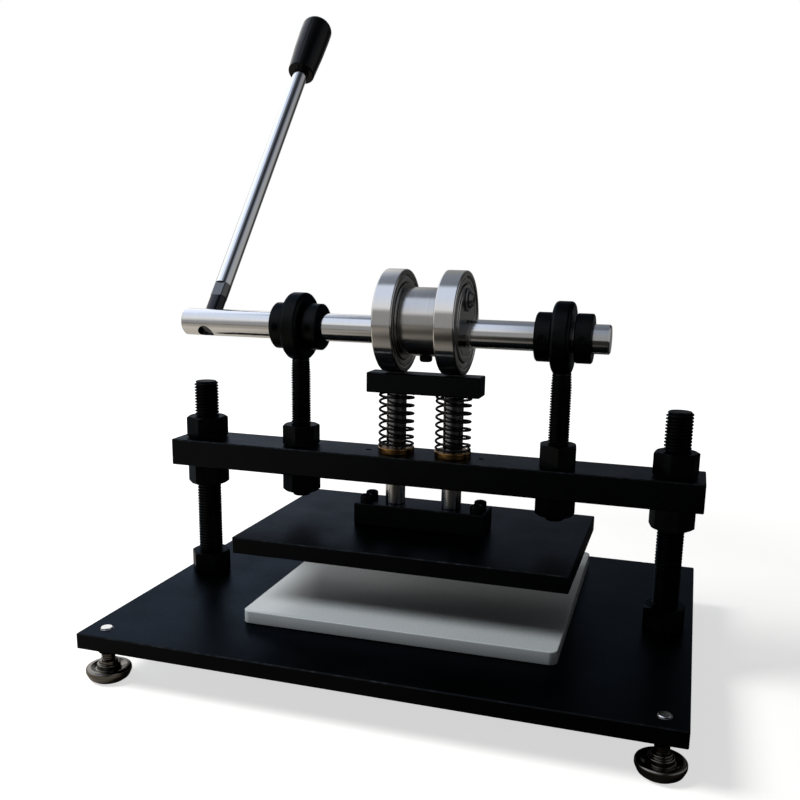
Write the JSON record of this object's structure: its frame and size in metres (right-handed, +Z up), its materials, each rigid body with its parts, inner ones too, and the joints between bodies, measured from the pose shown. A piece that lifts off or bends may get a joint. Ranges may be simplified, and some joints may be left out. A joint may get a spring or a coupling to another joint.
{
  "type": "manual die cutting machine",
  "caption": "Bench press for steel-rule dies: a hand lever turns an eccentric shaft whose bearings push a sprung, guided press plate down towards a cutting board.",
  "frame": {"origin": "on the bench, under the middle of the base plate", "axes": "+Z up, +X to the right seen from the front along the shaft, +Y to the back"},
  "size_m": [0.434, 0.4026, 0.546],
  "materials": {
    "black_paint": "black paint with a soft gloss",
    "black_oxide": "black oxide",
    "spring_steel": "dark spring wire",
    "nickel": "nickel plate",
    "ground_shaft": "ground",
    "chrome": "bright plate",
    "bearing_steel": "fine ground",
    "brass": "turned",
    "black_grip": "glossy",
    "white_board": "smooth matt"
  },
  "bodies": {
    "frame": {"base_plate": "black_paint", "foot_lock_nuts": "black_oxide", "left_post": "black_oxide", "right_post": "black_oxide", "post_nuts_under_base": "black_oxide", "post_nuts_on_base": "black_oxide", "post_nuts_under_beam": "black_oxide", "post_nuts_on_beam": "black_oxide", "crossbeam": "black_paint", "left_eye_bolt": "black_oxide", "right_eye_bolt": "black_oxide", "eye_nuts_above_beam": "black_oxide", "eye_nuts_below_beam": "black_oxide", "left_guide_bush": "brass", "right_guide_bush": "brass", "left_spring": "spring_steel", "right_spring": "spring_steel"},
    "front_left_leveller": {"front_left_foot": "nickel"},
    "front_right_leveller": {"front_right_foot": "nickel"},
    "rear_left_leveller": {"rear_left_foot": "nickel"},
    "rear_right_leveller": {"rear_right_foot": "nickel"},
    "lever": {"cross_shaft": "ground_shaft", "lever_rod": "chrome", "lever_grip": "black_grip", "left_outer_collar": "black_oxide", "left_inner_collar": "black_oxide", "right_inner_collar": "black_oxide", "right_outer_collar": "black_oxide", "collar_set_screws": "black_oxide", "eccentric_hub": "bearing_steel", "hub_lock_screw": "black_oxide", "retaining_washers": "bearing_steel", "retaining_screws": "bearing_steel", "left_inner_ring": "bearing_steel", "right_inner_ring": "bearing_steel", "left_bearing_balls": "bearing_steel", "right_bearing_balls": "bearing_steel", "left_bearing_cage": "brass", "right_bearing_cage": "brass"},
    "left_roller": {"left_outer_ring": "bearing_steel", "left_shields": "bearing_steel"},
    "right_roller": {"right_outer_ring": "bearing_steel", "right_shields": "bearing_steel"},
    "ram": {"pressure_bar": "black_paint", "left_guide_column": "ground_shaft", "right_guide_column": "ground_shaft", "ram_block": "black_paint", "block_screws": "black_oxide", "press_plate": "black_paint"},
    "board": {"cutting_board": "white_board"}
  },
  "joints": [
    {"name": "lever_turn", "type": "hinge", "parent": "frame", "child": "lever", "pos_m": [0, 0.004, 0.2565], "axis": [1, 0, 0], "range_deg": [0, 120]},
    {"name": "press_slide", "type": "slide", "parent": "frame", "child": "ram", "axis": [0, 0, -1], "range_m": [0, 0.0113], "stiffness_N_per_m": 3000, "springref_m": -0.022, "deforming": ["left_spring", "right_spring"]},
    {"name": "left_roller_spin", "type": "hinge", "parent": "lever", "child": "left_roller", "pos_m": [0, 0.004, 0.264], "axis": [1, 0, 0], "continuous": true},
    {"name": "right_roller_spin", "type": "hinge", "parent": "lever", "child": "right_roller", "pos_m": [0, 0.004, 0.264], "axis": [1, 0, 0], "continuous": true},
    {"name": "board_slide", "type": "slide", "parent": "frame", "child": "board", "axis": [0, -1, 0], "range_m": [0, 0.12]},
    {"name": "front_left_foot_turn", "type": "hinge", "parent": "frame", "child": "front_left_leveller", "pos_m": [-0.2005, -0.1395, 0.023], "axis": [0, 0, 1], "range_deg": [-360, 360]},
    {"name": "front_right_foot_turn", "type": "hinge", "parent": "frame", "child": "front_right_leveller", "pos_m": [0.2005, -0.1395, 0.023], "axis": [0, 0, 1], "range_deg": [-360, 360]},
    {"name": "rear_left_foot_turn", "type": "hinge", "parent": "frame", "child": "rear_left_leveller", "pos_m": [-0.2005, 0.1395, 0.023], "axis": [0, 0, 1], "range_deg": [-360, 360]},
    {"name": "rear_right_foot_turn", "type": "hinge", "parent": "frame", "child": "rear_right_leveller", "pos_m": [0.2005, 0.1395, 0.023], "axis": [0, 0, 1], "range_deg": [-360, 360]}
  ],
  "couplings": [
    {"joint": "press_slide", "follows": "lever_turn", "m_per_rad": 0.0053715}
  ]
}
